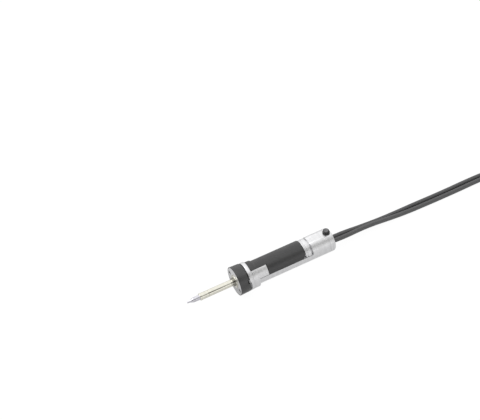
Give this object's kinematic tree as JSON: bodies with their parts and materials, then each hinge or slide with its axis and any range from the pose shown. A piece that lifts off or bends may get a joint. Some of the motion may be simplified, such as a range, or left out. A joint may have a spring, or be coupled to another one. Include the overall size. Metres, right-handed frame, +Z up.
{
  "type": "desoldering iron",
  "caption": "In-line vacuum desoldering iron with heated hollow nozzle, guard ring, lift-off grip cover over a solder collector, clamp collar, top button, power cable and vacuum hose.",
  "frame": {"origin": "on the surface that the tool lies on, below the middle of the tool's length from nozzle tip to rear end", "axes": "+X from the nozzle towards the cords, along the floor; +Z up, on the side of the button; the tool's own axis dips 2.05 degrees towards the rear"},
  "size_m": [0.5754, 0.0516, 0.0373],
  "materials": {
    "nozzle_metal": "satin plated nozzle",
    "gold_nickel": "polished pale gold nickel",
    "ceramic": "fired, unglazed",
    "resistance_wire": "oxidised wire",
    "steel": "bright",
    "aluminium": "satin anodised",
    "black_plastic": "moulded, fine grain",
    "grip_plastic": "moulded, soft touch",
    "insulator": "pressed mica board",
    "collector_glass": "clear",
    "silicone": "moulded silicone",
    "felt": "pressed fibre",
    "brass": "turned",
    "inner_rubber": "smooth",
    "lead_sleeve": "silicone sleeve",
    "button_plastic": "moulded, slight sheen",
    "bezel_plastic": "moulded",
    "board": "lacquered laminate",
    "grommet_rubber": "moulded",
    "cord_jacket": "smooth flexible jacket",
    "hose_jacket": "smooth flexible hose",
    "plug_plastic": "moulded",
    "fitting_metal": "nickel plated",
    "tie_strap": "woven hook and loop strap"
  },
  "bodies": {
    "chassis": {"nose_switch": "black_plastic", "slide_bush": "black_plastic", "front_housing": "aluminium", "front_collar": "aluminium", "body_tube": "aluminium", "housing_screw": "steel", "front_seal": "silicone", "vacuum_port": "brass", "inner_hose": "inner_rubber", "heater_leads": "lead_sleeve", "button_bezel": "bezel_plastic", "button_spring": "steel", "button_switch": "black_plastic", "switch_board": "board", "end_plate": "aluminium", "end_screws": "steel", "cord_grommet": "grommet_rubber", "nose_spring": "steel", "clamp_spring": "steel", "power_cable": "cord_jacket", "power_hank": "cord_jacket", "power_plug": "plug_plastic", "vacuum_hose": "hose_jacket", "hose_hank": "hose_jacket", "hose_fitting": "fitting_metal", "hank_ties": "tie_strap"},
    "nose": {"nozzle": "nozzle_metal", "nozzle_nut": "gold_nickel", "heater_barrel": "gold_nickel", "barrel_flange": "gold_nickel", "heater_core": "ceramic", "heater_winding": "resistance_wire", "temperature_sensor": "steel", "suction_tube": "steel", "front_plate": "aluminium", "plate_screws": "steel", "guard_ring": "black_plastic", "nose_block": "insulator", "guide_pins": "steel"},
    "cover": {"grip_cover": "grip_plastic", "collector_tube": "collector_glass", "collector_baffle": "steel", "filter_pad": "felt"},
    "clamp": {"rear_seal": "silicone", "seal_carrier": "aluminium", "clamp_collar": "aluminium"},
    "button": {"button_cap": "button_plastic"}
  },
  "joints": [
    {"name": "nose_press", "type": "slide", "parent": "chassis", "child": "nose", "axis": [0.9996, 0, -0.0284], "range_m": [0, 0.0012], "stiffness_N_per_m": 1200, "springref_m": -0.0015, "deforming": ["nose_spring"]},
    {"name": "cover_lift", "type": "slide", "parent": "chassis", "child": "cover", "axis": [0.0284, 0, 0.9996], "range_m": [0, 0.035]},
    {"name": "clamp_slide", "type": "slide", "parent": "chassis", "child": "clamp", "axis": [0.9996, 0, -0.0284], "range_m": [0, 0.0017], "stiffness_N_per_m": 1500, "springref_m": -0.003, "deforming": ["clamp_spring"]},
    {"name": "button_press", "type": "slide", "parent": "chassis", "child": "button", "axis": [-0.0284, 0, -0.9996], "range_m": [0, 0.0012], "stiffness_N_per_m": 800, "springref_m": -0.001, "deforming": ["button_spring"]}
  ]
}
